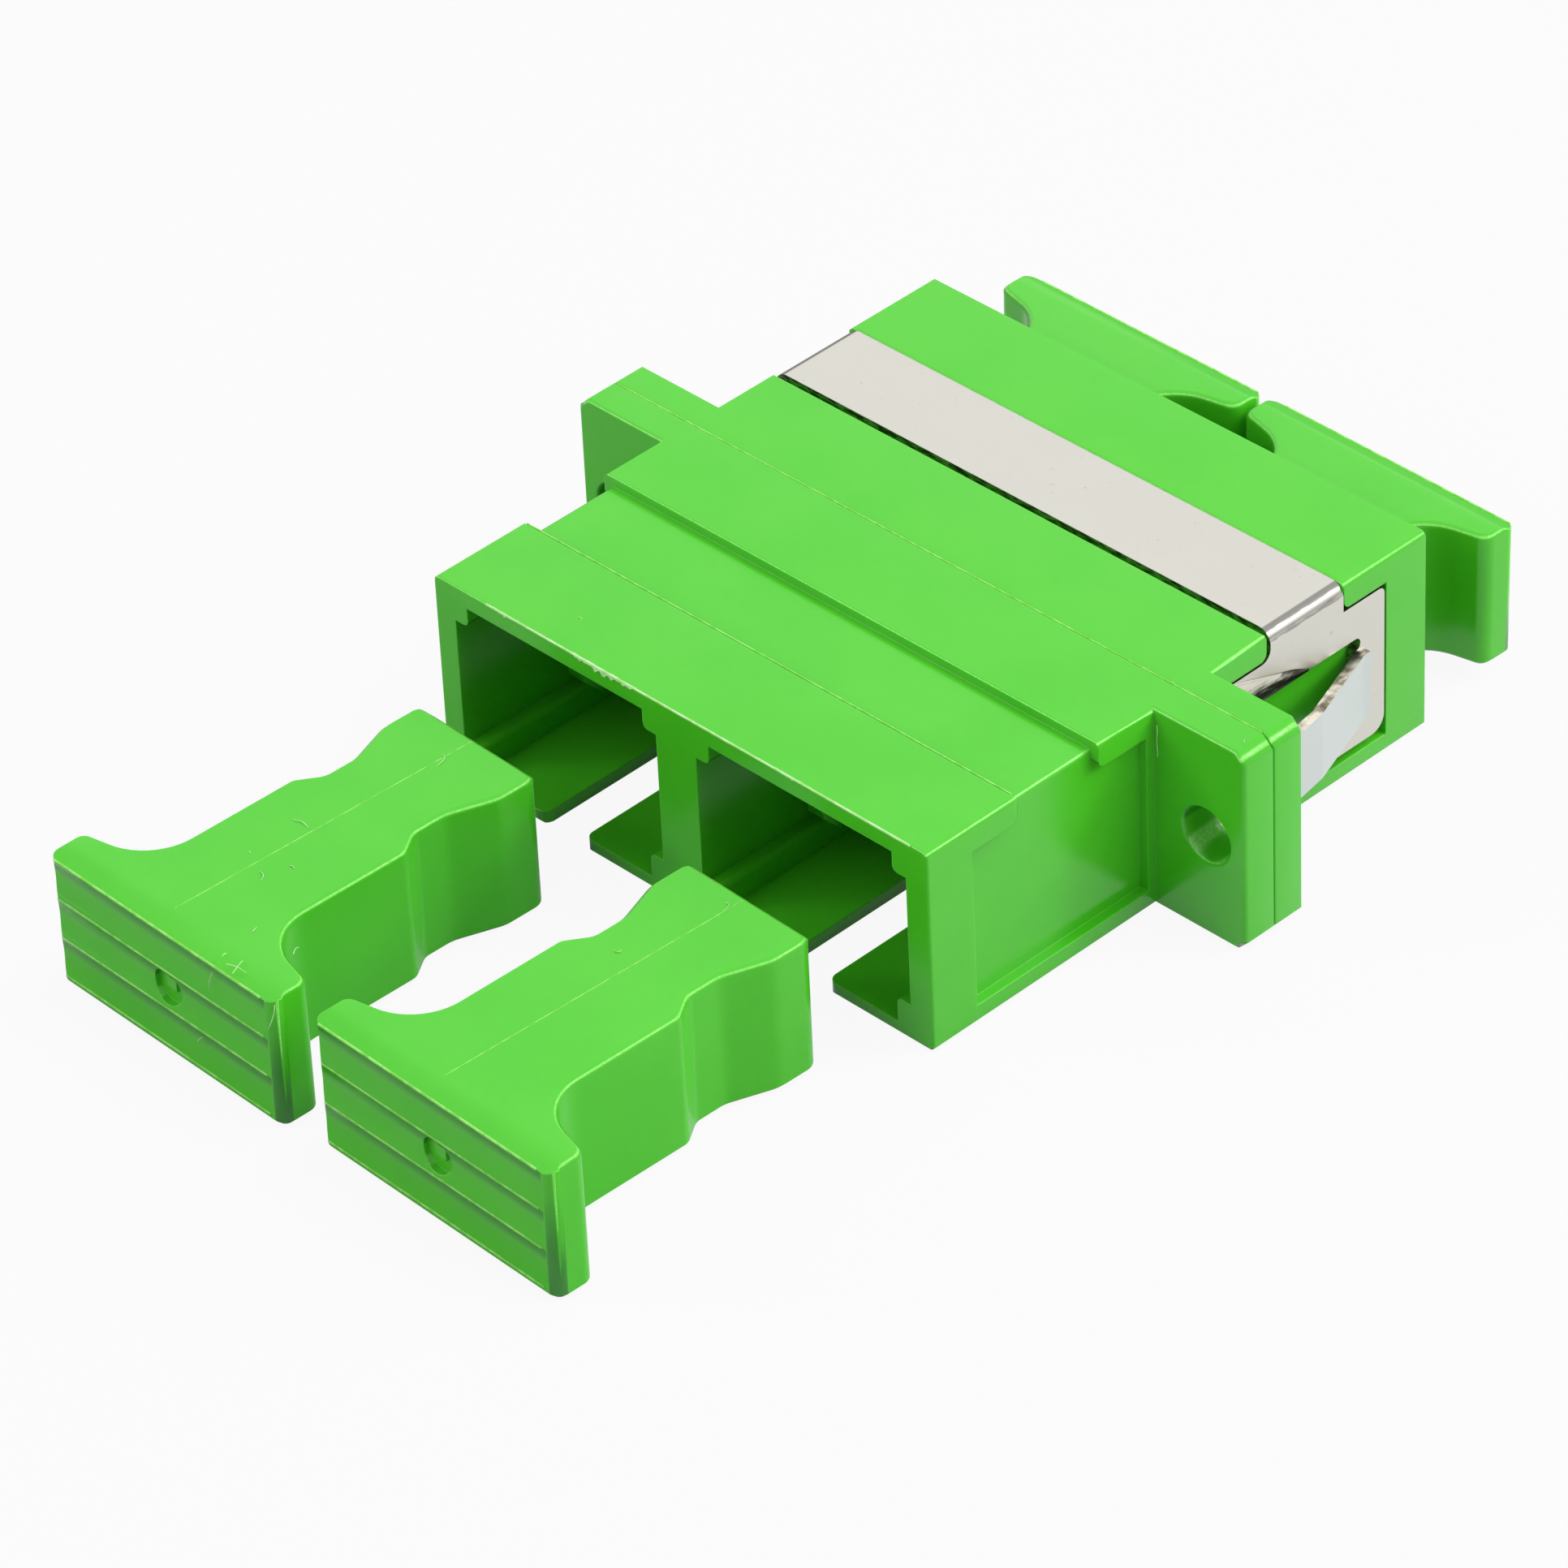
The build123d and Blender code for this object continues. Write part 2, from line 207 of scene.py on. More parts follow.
class Signal:
    """An output socket that can be used in Python expressions."""

    def __init__(self, sheet: Sheet, socket: bpy.types.NodeSocket) -> None:
        """Wrap a socket of a sheet."""
        self.sheet = sheet
        self.socket = socket

    def _math(self, operation: str, first: object, second: object) -> "Signal":
        """Add a Math node on two values."""
        return self.sheet.signal("ShaderNodeMath", "Value", {"operation": operation}, at_0=first, at_1=second)

    def __add__(self, other: object) -> "Signal":
        """Sum of two values."""
        return self._math("ADD", self, other)

    __radd__ = __add__

    def __sub__(self, other: object) -> "Signal":
        """This value less another."""
        return self._math("SUBTRACT", self, other)

    def __rsub__(self, other: object) -> "Signal":
        """Another value less this one."""
        return self._math("SUBTRACT", other, self)

    def __mul__(self, other: object) -> "Signal":
        """Product of two values."""
        return self._math("MULTIPLY", self, other)

    __rmul__ = __mul__

    def either(self, other: "Signal") -> "Signal":
        """The larger of two values."""
        return self._math("MAXIMUM", self, other)

    def away(self) -> "Signal":
        """The distance from 0."""
        return self.either(0.0 - self)

    def above(self, low: float, high: float) -> "Signal":
        """Step smoothly from 0 to 1.

        Args:
            low: Where the step starts.
            high: Where it ends.

        Returns:
            The step.
        """
        return self.sheet.signal(
            "ShaderNodeMapRange",
            "Result",
            {"interpolation_type": "SMOOTHSTEP"},
            Value=self,
            From_Min=low,
            From_Max=high,
        )

    def mix(self, low: "Colour | Signal", high: "Colour | Signal") -> "Signal":
        """A colour between two colours, with this value as the share of the second.

        Args:
            low: The colour at 0, as three numbers or a Signal.
            high: The colour at 1.

        Returns:
            The mixed colour.
        """
        made = self.sheet.node("ShaderNodeMix", {"data_type": "RGBA"})
        for name, value in (("Factor_Float", self), ("A_Color", low), ("B_Color", high)):
            socket = next(s for s in made.inputs if s.identifier == name)
            self.sheet.feed(socket, value if isinstance(value, Signal) else (*value, 1.0))
        return Signal(self.sheet, next(s for s in made.outputs if s.identifier == "Result_Color"))


@dataclass(frozen=True)
class MouldedPlastic:
    """Green moulded plastic with a fine eroded grain and a little depth, with painted shade where it faces down and
    painted highlights along its upper edges.

    Attributes:
        name: The material's name.
        colour: Linear base colour.
        deep: Linear colour of the cloudier patches.
        shadow: Linear colour of the painted shade where it faces down and little light gets in.
        shade: Share of that colour.
        pits_and_edge_highlight: Linear colour of the painted highlight along its upper edges.
        edge_highlight_share: Share of that colour.
        glitter: Width of the brighter spots along those edges, in millimetres.
        roughness: Mean roughness.
        patch: Width of a cloudy patch, in millimetres.
        grain: Height of the grain, in millimetres.
        grain_size: Width of one grain, in millimetres.
        rounding: Radius of its edges, in millimetres.
        index: How strongly it bends light.
        gloss: How much light it mirrors, where 0.5 is usual.
        depth: Share of the light that goes into the plastic.
        reach: How far green light goes in it, in millimetres.
        spread: How far red, green and blue light go in it, against that.
        hollow: Distances of the ports' outer limits along X, Y and Z, in millimetres, if it has ports.
        fade: How gently those limits begin, in millimetres.
    """

    name: str
    colour: Colour = (0.074, 0.530, 0.019)
    deep: Colour = (0.066, 0.512, 0.016)
    shadow: Colour = (0.008, 0.24, 0.004)
    shade: float = 0.85
    pits_and_edge_highlight: Colour = (0.36, 0.86, 0.22)
    edge_highlight_share: float = 0.62
    glitter: float = 0.11
    roughness: float = 0.2
    patch: float = 5.0
    grain: float = 0.0012
    grain_size: float = 0.16
    rounding: float = 0.07
    index: float = 1.48
    gloss: float = 0.38
    depth: float = 0.25
    reach: float = 0.5
    spread: Colour = (0.35, 1.0, 0.18)
    hollow: Point | None = None
    fade: float = 0.1

    def build(self) -> bpy.types.Material:
        """Make the material.

        Returns:
            The new material.
        """
        sheet, material = Sheet.of_material(self.name)
        place = sheet.signal("ShaderNodeTexCoord", "Object")
        cloud = sheet.noise(place, self.patch, detail=3.0)
        grain = sheet.noise(place, self.grain_size)
        straight = sheet.signal("ShaderNodeNewGeometry", "Normal")
        rounded = sheet.signal("ShaderNodeBevel", "Normal", {"samples": 4}, Radius=self.rounding * MM)
        relief = sheet.signal(
            "ShaderNodeBump", "Normal", Strength=1.0, Distance=self.grain * MM, Height=grain, Normal=rounded
        )
        # Painted shade: faces that turn downwards are mixed towards the shadow colour.
        under = (0.0 - sheet.part(straight, "Z")).above(0.03, 0.26) * self.shade
        clear = cloud.above(0.35, 0.65).mix(self.colour, self.deep)
        # Painted highlights along the upper edges: a pale colour where they turn towards the light.
        pale = self._painted_edge_highlights(sheet, place, straight, rounded)
        sheet.surface(
            {"subsurface_method": "RANDOM_WALK"},
            Base_Color=pale.mix(under.mix(clear, self.shadow), self.pits_and_edge_highlight),
            Roughness=self.roughness + (cloud - 0.5) * 0.06,
            IOR=self.index,
            Specular_IOR_Level=self.gloss,
            Subsurface_Weight=self.depth,
            Subsurface_Radius=self.spread,
            Subsurface_Scale=self.reach * MM,
            Normal=relief,
        )
        return material

    def _painted_edge_highlights(self, sheet: Sheet, place: Signal, straight: Signal, rounded: Signal) -> Signal:
        """Paint highlights on the upper edges: the slopes that the solid has, and the corners that only its shading
        rounds.

        Args:
            sheet: The sheet of the material.
            place: The Object coordinates.
            straight: The surface's own normal.
            rounded: The normal with its edges rounded.

        Returns:
            How much painted highlight the plastic has there.
        """
        up = sheet.part(straight, "Z")
        alike = sheet.signal(
            "ShaderNodeVectorMath", "Value", {"operation": "DOT_PRODUCT"}, at_0=rounded, at_1=straight
        )
        slope = up.above(0.42, 0.58) * (1.0 - up.above(0.80, 0.92))
        corner = (1.0 - alike).above(0.02, 0.16) * sheet.part(rounded, "Z").above(0.15, 0.5)
        glitter = sheet.noise(place, self.glitter).above(0.36, 0.66)
        pale = slope.either(corner) * (0.6 + glitter * 0.4) * self.edge_highlight_share
        if self.hollow:
            pale = pale * (1.0 - self._inside(sheet, place))
        return pale

    def _inside(self, sheet: Sheet, place: Signal) -> Signal:
        """Mark what lies inside the ports, where no highlight is painted on the edges.

        Args:
            sheet: The sheet of the material.
            place: The Object coordinates.

        Returns:
            1 inside the ports, and 0 outside.
        """
        across, along, high = (
            1.0 - sheet.part(place, axis).away().above((limit - self.fade) * MM, limit * MM)
            for axis, limit in zip("XYZ", self.hollow)
        )
        return across * along * high


@dataclass(frozen=True)
class SpringSteel:
    """Bright rolled spring steel with faint scratches, and painted reflections: dark streaks along its bends, a cooler
    tint on the tabs and painted shade in the folds.

    Attributes:
        name: The material's name.
        colour: Linear base colour.
        pitted: Linear colour of its pits.
        tab_reflection: Linear colour of the tabs, which lean out of the legs, a painted reflection.
        fold_shade: Linear colour of the fold between a leg and its tab, a painted shade.
        painted_dark_reflection: Linear colour of the streaks, a painted reflection of dark surroundings.
        leg_face: Distance of the outer face of the legs from the middle, in millimetres.
        roughness: Mean roughness.
        relief: Height of its lines and pits, in millimetres.
    """

    name: str = "spring_steel"
    colour: Colour = (0.54, 0.53, 0.48)
    pitted: Colour = (0.40, 0.385, 0.35)
    tab_reflection: Colour = (0.50, 0.54, 0.53)
    fold_shade: Colour = (0.36, 0.44, 0.35)
    painted_dark_reflection: Colour = (0.10, 0.095, 0.09)
    leg_face: float = 12.88
    roughness: float = 0.30
    relief: float = 0.0022

    def build(self) -> bpy.types.Material:
        """Make the material.

        Returns:
            The new material.
        """
        sheet, material = Sheet.of_material(self.name)
        place = sheet.signal("ShaderNodeTexCoord", "Object")
        lines = sheet.noise(place, (4.0, 0.1, 4.0), detail=3.0)
        haze = sheet.noise(place, 3.0, detail=4.0)
        pits = sheet.noise(place, 0.22)
        height = lines * 0.5 + pits * 0.5
        relief = sheet.signal("ShaderNodeBump", "Normal", Strength=0.5, Distance=self.relief * MM, Height=height)
        pits_and_edge_highlight = pits.above(0.68, 0.8).mix(self.colour, self.pitted)
        proud = sheet.part(place, "X").away()
        # Painted reflection on the tabs, and painted shade in the fold between a leg and its tab.
        tab = proud.above(self.leg_face * MM, (self.leg_face + 0.35) * MM)
        fold = proud.above((self.leg_face + 0.005) * MM, (self.leg_face + 0.06) * MM) * (1.0 - tab)
        pits_and_reflections = (fold * 0.8).mix(tab.mix(pits_and_edge_highlight, self.tab_reflection), self.fold_shade)
        sheet.surface(
            # Painted dark reflections along the bends.
            Base_Color=(self._painted_bend_reflections(sheet, place) * 0.85).mix(pits_and_reflections, self.painted_dark_reflection),
            Metallic=1.0,
            Roughness=self.roughness + (haze - 0.5) * 0.10 + (lines - 0.5) * 0.05,
            Normal=relief,
        )
        return material

    def _painted_bend_reflections(self, sheet: Sheet, place: Signal) -> Signal:
        """Paint the two rows of dark reflections along the outer side of each bend.

        Args:
            sheet: The sheet of the material.
            place: The Object coordinates.

        Returns:
            How dark the steel is there.
        """
        up = sheet.part(sheet.signal("ShaderNodeNewGeometry", "Normal"), "Z")
        ragged = up + (sheet.noise(place, (0.05, 0.7, 0.05), detail=3.0) - 0.5) * 0.5
        bend = up.above(0.05, 0.16) * (1.0 - up.above(0.955, 0.985))
        upper = ragged.above(0.70, 0.78) * (1.0 - ragged.above(1.02, 1.12))
        lower = ragged.above(0.14, 0.2) * (1.0 - ragged.above(0.30, 0.40))
        return bend * (upper * 0.8).either(lower * 0.65)


@dataclass(frozen=True)
class ShearedSteel:
    """Torn metal where the punch rolled or cut the edge of the strip; its dark places are partly painted shade.

    Attributes:
        name: The material's name.
        dark: Linear colour of the torn places, which also serves as painted shade.
        light: Linear colour of the bright ones.
        lift: How much brighter than usual it is.
        bottom: Height at which it begins to get brighter upwards, in millimetres.
        climb: How far up it goes on getting brighter, in millimetres.
        roughness: Its roughness.
        relief: Height of the tears, in millimetres.
    """

    name: str = "sheared_steel_painted_shade"
    dark: Colour = (0.050, 0.046, 0.034)
    light: Colour = (0.62, 0.60, 0.52)
    lift: float = -0.2
    bottom: float = 6.3
    climb: float = 1.1
    roughness: float = 0.36
    relief: float = 0.008

    def build(self) -> bpy.types.Material:
        """Make the material.

        Returns:
            The new material.
        """
        sheet, material = Sheet.of_material(self.name)
        place = sheet.signal("ShaderNodeTexCoord", "Object")
        torn = sheet.noise(place, (0.5, 0.9, 0.13), detail=3.0, roughness=0.6)
        height = torn + sheet.noise(place, 0.07, detail=1.0) * 0.4
        relief = sheet.signal("ShaderNodeBump", "Normal", Strength=1.0, Distance=self.relief * MM, Height=height)
        crest = sheet.part(place, "Z").above(self.bottom * MM, (self.bottom + self.climb) * MM) * 0.5
        bright = (torn + crest + self.lift).above(0.36, 0.66)
        sheet.surface(
            Base_Color=bright.mix(self.dark, self.light), Metallic=1.0, Roughness=self.roughness, Normal=relief
        )
        return material


@dataclass(frozen=True)
class PolishedCeramic:
    """White ceramic of the alignment sleeves.

    Attributes:
        name: The material's name.
        colour: Linear base colour.
        roughness: Least roughness.
    """

    name: str = "sleeve_ceramic"
    colour: Colour = (0.80, 0.80, 0.77)
    roughness: float = 0.12

    def build(self) -> bpy.types.Material:
        """Make the material.

        Returns:
            The new material.
        """
        sheet, material = Sheet.of_material(self.name)
        cloud = sheet.noise(sheet.signal("ShaderNodeTexCoord", "Object"), 1.2)
        sheet.surface(Base_Color=(*self.colour, 1.0), Roughness=self.roughness + cloud * 0.08)
        return material


@dataclass(frozen=True)
class PaleFibre:
    """Pale lint and feathered plastic, also used for painted highlight lines.

    Attributes:
        name: The material's name.
        light: Linear colour of its paler stretches.
        dull: Linear colour of the others.
        roughness: Least roughness.
        index: How strongly it bends light.
    """

    name: str = "pale_fibre"
    light: Colour = (0.55, 0.84, 0.42)
    dull: Colour = (0.36, 0.72, 0.22)
    roughness: float = 0.45
    index: float = 1.45

    def build(self) -> bpy.types.Material:
        """Make the material.

        Returns:
            The new material.
        """
        sheet, material = Sheet.of_material(self.name)
        along = sheet.noise(sheet.signal("ShaderNodeTexCoord", "Object"), 0.4)
        colour = along.above(0.35, 0.65).mix(self.dull, self.light)
        sheet.surface(Base_Color=colour, Roughness=self.roughness + along * 0.2, IOR=self.index)
        return material


class Bench:
    """The steps of modelling by hand, one piece at a time.

    Attributes:
        weld: Distance under which two corners of a solid's triangles are one, in millimetres.
        flat: Angle under which two of its faces are one, in degrees.
    """

    weld: float = 0.0005
    flat: float = 0.3

    @staticmethod
    def pick(piece: bpy.types.Object) -> None:
        """Select one piece and nothing else.

        Args:
            piece: The piece.
        """
        bpy.ops.object.select_all(action="DESELECT")
        piece.select_set(True)
        bpy.context.view_layer.objects.active = piece

    @staticmethod
    def made() -> bpy.types.Object:
        """The piece that the last primitive added."""
        return bpy.context.object

    @staticmethod
    def settle(piece: bpy.types.Object) -> None:
        """Apply a piece's place, turn and scale to its mesh."""
        Bench.pick(piece)
        bpy.ops.object.transform_apply(location=True, rotation=True, scale=True)

    @staticmethod
    def modify(piece: bpy.types.Object, kind: str, **settings: object) -> None:
        """Add a modifier and apply it.

        Args:
            piece: The piece that gets it.
            kind: The modifier's type.
            settings: Its properties.
        """
        Bench.pick(piece)
        modifier = piece.modifiers.new(kind.lower(), kind)
        for key, value in settings.items():
            setattr(modifier, key, value)
        bpy.ops.object.modifier_apply(modifier=modifier.name)

    @staticmethod
    def softened(node: bpy.types.Object, crease: float = 46.5) -> bpy.types.Object:
        """Copy a solid, weld its loose triangles, make its flat faces whole and smooth its rounds.

        Args:
            node: The solid, which stays as it is.
            crease: Angle over which an edge stays sharp, in degrees.

        Returns:
            The copy.
        """
        piece = bpy.data.objects.new(f"{node.name}_dressed", node.data.copy())
        bpy.context.scene.collection.objects.link(piece)
        Bench.pick(piece)
        bpy.ops.object.mode_set(mode="EDIT")
        bpy.ops.mesh.select_all(action="SELECT")
        bpy.ops.mesh.remove_doubles(threshold=Bench.weld * MM)
        bpy.ops.mesh.dissolve_limited(angle_limit=radians(Bench.flat))
        bpy.ops.object.mode_set(mode="OBJECT")
        bpy.ops.mesh.customdata_custom_splitnormals_clear()
        bpy.ops.object.shade_smooth_by_angle(angle=radians(crease))
        Bench.flatten_shading(piece)
        return piece

    @staticmethod
    def flatten_shading(piece: bpy.types.Object) -> None:
        """Weigh the normals by area between sharp edges, so that flat faces shade flat beside their rounds."""
        Bench.modify(piece, "WEIGHTED_NORMAL", mode="FACE_AREA", weight=50, keep_sharp=True)

    @staticmethod
    def thread(points: list[Point], thickness: float, place: Matrix | None = None) -> bpy.types.Object:
        """Lay a thin thread along five points, from the first to the last.

        Args:
            points: The five points, in millimetres.
            thickness: Its diameter, in millimetres.
            place: Where the frame of the points is.

        Returns:
            The thread, as a mesh.
        """
        bpy.ops.object.select_all(action="DESELECT")
        bpy.ops.curve.primitive_nurbs_path_add(radius=1)
        line = Bench.made()
        line.data.bevel_depth = thickness / 2 * MM
        line.data.bevel_resolution = 1
        line.data.resolution_u = 5
        line.data.use_fill_caps = True
        for knot, point in zip(line.data.splines[0].points, points):
            knot.co = (*((place or Matrix()) @ (Vector(point) * MM)), 1)
        bpy.ops.object.convert(target="MESH")
        bpy.ops.object.shade_smooth()
        return Bench.made()

    @staticmethod
    def joined(pieces: list[bpy.types.Object]) -> bpy.types.Object:
        """Join pieces into one.

        Args:
            pieces: The pieces.

        Returns:
            The first of them, which now holds them all.
        """
        bpy.ops.object.select_all(action="DESELECT")
        for piece in pieces:
            piece.select_set(True)
        bpy.context.view_layer.objects.active = pieces[0]
        bpy.ops.object.join()
        return pieces[0]

    @staticmethod
    def hand_over(
        piece: bpy.types.Object, name: str, material: bpy.types.Material, body: str, slot: str, stands_for: str = ""
    ) -> None:
        """Name, dress and mount a finished piece.

        Args:
            piece: The piece.
            name: Its name.
            material: Its finish.
            body: The body that it rides on.
            slot: A slot name, which is not used.
            stands_for: The solid that it replaces, if any.
        """
        Bench.settle(piece)
        piece.name = name
        piece.data.name = name
        piece.data.materials.clear()
        piece.data.materials.append(material)
        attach(piece, body)
        if stands_for:
            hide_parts(stands_for)
        LOG.info("%s: %d faces in %s, on %s", name, len(piece.data.polygons), material.name, body)


class Finishes:
    """One of each material that the pieces share."""

    def __init__(self) -> None:
        """Make them all."""
        self.housing = MouldedPlastic("housing_plastic", hollow=(11.9, 13.3, 8.4)).build()
        self.cap = MouldedPlastic("cap_plastic").build()
        self.insert = MouldedPlastic("insert_plastic", roughness=0.4, depth=0.2).build()
        self.steel = SpringSteel().build()
        # The sheared finish is dark as painted shade on the rolled edges.
        self.sheared = ShearedSteel().build()
        # The cut finish darkens the cut faces, partly as painted shade in the relief holes.
        self.cut = ShearedSteel(
            "cut_steel_painted_shade", dark=(0.10, 0.085, 0.055), light=(0.58, 0.56, 0.50), lift=0.0, bottom=99.0
        ).build()
        self.ceramic = PolishedCeramic().build()
        # Pale fibre for the lint and the flash, and for the painted highlight along the mouth.
        self.fibre = PaleFibre().build()
        # Pale lines: painted highlights on edges and ridges, and the mould's parting lines.
        self.flash = PaleFibre("flash_and_highlight_plastic", light=(0.30, 0.74, 0.16), dull=(0.16, 0.58, 0.06)).build()


@dataclass
class HousingHalf:
    """One moulded half of the housing, with the flash, the painted highlight lines along its mouth and lip, the seam
    line and the lint that its front row shows.

    Attributes:
        nodes: The solids of the frame, by name.
        finishes: The materials.
        row: Which half it is.
        mouth: Distance of its open end from the seam.
        flash_top: Height of the upper edge of the flash at its mouth.
        flash: The flash, as places along X and how far it hangs down.
        flash_step: Width of one face of the flash.
        flash_thickness: Its thickness.
        lean: How far its upper edge leans back onto the plastic, and the height of what leans.
        flutter: How far it waves along Y.
        rim_start: Left end of the painted highlight line along the upper edge of the mouth.
        rim_length: Length of that line.
        rim_height: Its height.
        rim_thickness: Its thickness.
        lip_edge: Left end of the back edge of the lip over the ports.
        seam_edge: Left end of the line in the top of the seam.
        edge_thickness: Thickness of the lines on those two.
        threads: Lint, as runs of five points.
        lint_thickness: Its thickness.
    """

    nodes: dict
    finishes: Finishes
    row: Row
    mouth: float = 13.4
    flash_top: float = 9.06
    flash: tuple[tuple[float, float, float], ...] = (
        (-5.3, -4.2, 0.22),
        (-4.6, -2.9, 0.30),
        (-3.3, -2.0, 0.20),
        (-9.6, -8.2, 0.12),
        (5.2, 6.6, 0.10),
    )
    flash_step: float = 0.12
    flash_thickness: float = 0.05
    lean: tuple[float, float] = (0.07, 0.12)
    flutter: float = 0.03
    rim_start: float = -10.0
    rim_length: float = 22.0
    rim_height: float = 9.025
    rim_thickness: float = 0.10
    lip_edge: Point = (-12.6, -8.77, 9.028)
    seam_edge: Point = (-16.75, 0.0, 9.018)
    edge_thickness: float = 0.075
    threads: Threads = (
        ((8.14, -2.93, 8.63), (8.47, -3.10, 8.70), (8.54, -3.25, 8.72), (8.64, -3.41, 8.68), (8.97, -3.59, 8.63)),
        ((13.06, -1.63, 8.41), (13.20, -1.66, 8.08), (12.96, -1.68, 7.69), (13.18, -1.66, 7.37), (13.08, -1.63, 7.0)),
        ((16.6, -0.86, 9.06), (16.64, -0.84, 9.08), (16.68, -0.84, 9.09), (16.7, -0.88, 9.08), (16.7, -0.92, 9.06)),
        ((12.29, 0.0, 9.06), (12.31, -0.02, 9.09), (12.35, -0.03, 9.1), (12.37, -0.01, 9.09), (12.39, 0.02, 9.06)),
        ((-6.8, -11.7, 9.05), (-6.75, -11.68, 9.08), (-6.7, -11.65, 9.09), (-6.66, -11.66, 9.08), (-6.62, -11.7, 9.05)),
    )
    lint_thickness: float = 0.035

    def build(self) -> None:
        """Make the dressed half and, on the front one, its flash, its edge lines and its lint."""
        name = f"{self.row.value}_housing"
        half = Bench.softened(self.nodes[name])
        Bench.hand_over(half, f"{name}_moulding", self.finishes.housing, "adapter", "housing", name)
        if self.row is Row.FRONT:
            self._flash()
            self._edge_lines()
            self._lint()

    def _flash(self) -> None:
        """Add the thin feathered flash, pale partly as a painted highlight, and a painted highlight line along the
        upper edge of the mouth.
        """
        strips = []
        for start, end, drop in self.flash:
            steps = int((end - start) / self.flash_step)
            bpy.ops.object.select_all(action="DESELECT")
            bpy.ops.mesh.primitive_grid_add(x_subdivisions=steps, y_subdivisions=3, size=1)
            strip = Bench.made()
            strip.scale = ((end - start) * MM, drop * MM, 1)
            strip.rotation_euler = (radians(90), 0, 0)
            strip.location = ((start + end) / 2 * MM, (-0.01 - self.mouth) * MM, (self.flash_top - drop / 2) * MM)
            Bench.settle(strip)
            self._tear(strip, start, end, drop)
            Bench.modify(strip, "SOLIDIFY", thickness=self.flash_thickness * MM, offset=0)
            strips.append(strip)
        # Painted highlight along the upper edge of the mouth.
        rim_highlight = [
            (self.rim_start + self.rim_length * k / 4, 0.01 * sin(9 * k) - self.mouth + 0.02, self.rim_height)
            for k in range(5)
        ]
        strips.append(Bench.thread(rim_highlight, self.rim_thickness))
        Bench.hand_over(Bench.joined(strips), "mouth_flash_and_highlight", self.finishes.fibre, "adapter", "housing")

    def _tear(self, strip: bpy.types.Object, start: float, end: float, drop: float) -> None:
        """Make the lower edge of a strip of flash ragged and thin out its ends.

        Args:
            strip: The strip.
            start: Where it starts, along X.
            end: Where it ends.
            drop: How far it hangs down in its middle.
        """
        top = self.flash_top * MM
        back, height = self.lean
        for vertex in strip.data.vertices:
            share = (vertex.co.x / MM - start) / (end - start)
            wave = 0.62 + 0.22 * sin(share * 23 + start) + 0.16 * sin(share * 61 + end)
            hang = (top - vertex.co.z) * wave * max(0.0, sin(pi * share)) ** 0.6
            vertex.co.y += back * MM * max(0.0, 1 - (top - vertex.co.z) / (height * MM))
            vertex.co.z = top - hang
            vertex.co.y += self.flutter * MM * sin(share * 37) * (top - vertex.co.z) / (drop * MM)

    def _edge_lines(self) -> None:
        """Lay a painted highlight line along the back edge of the lip, and a pale line in the top of the seam."""
        lines = []
        for start, y, z in (self.lip_edge, self.seam_edge):
            points = [(start - start * k / 2, y + 0.008 * sin(7 * k), z) for k in range(5)]
            lines.append(Bench.thread(points, self.edge_thickness))
        # The lip line is a painted highlight.
        Bench.hand_over(Bench.joined(lines), "housing_edge_lines", self.finishes.flash, "adapter", "housing")

    def _lint(self) -> None:
        """Add the fibres that lie on the top and on the flange."""
        lint = Bench.joined([Bench.thread(list(points), self.lint_thickness) for points in self.threads])
        Bench.hand_over(lint, "housing_lint", self.finishes.fibre, "adapter", "housing")


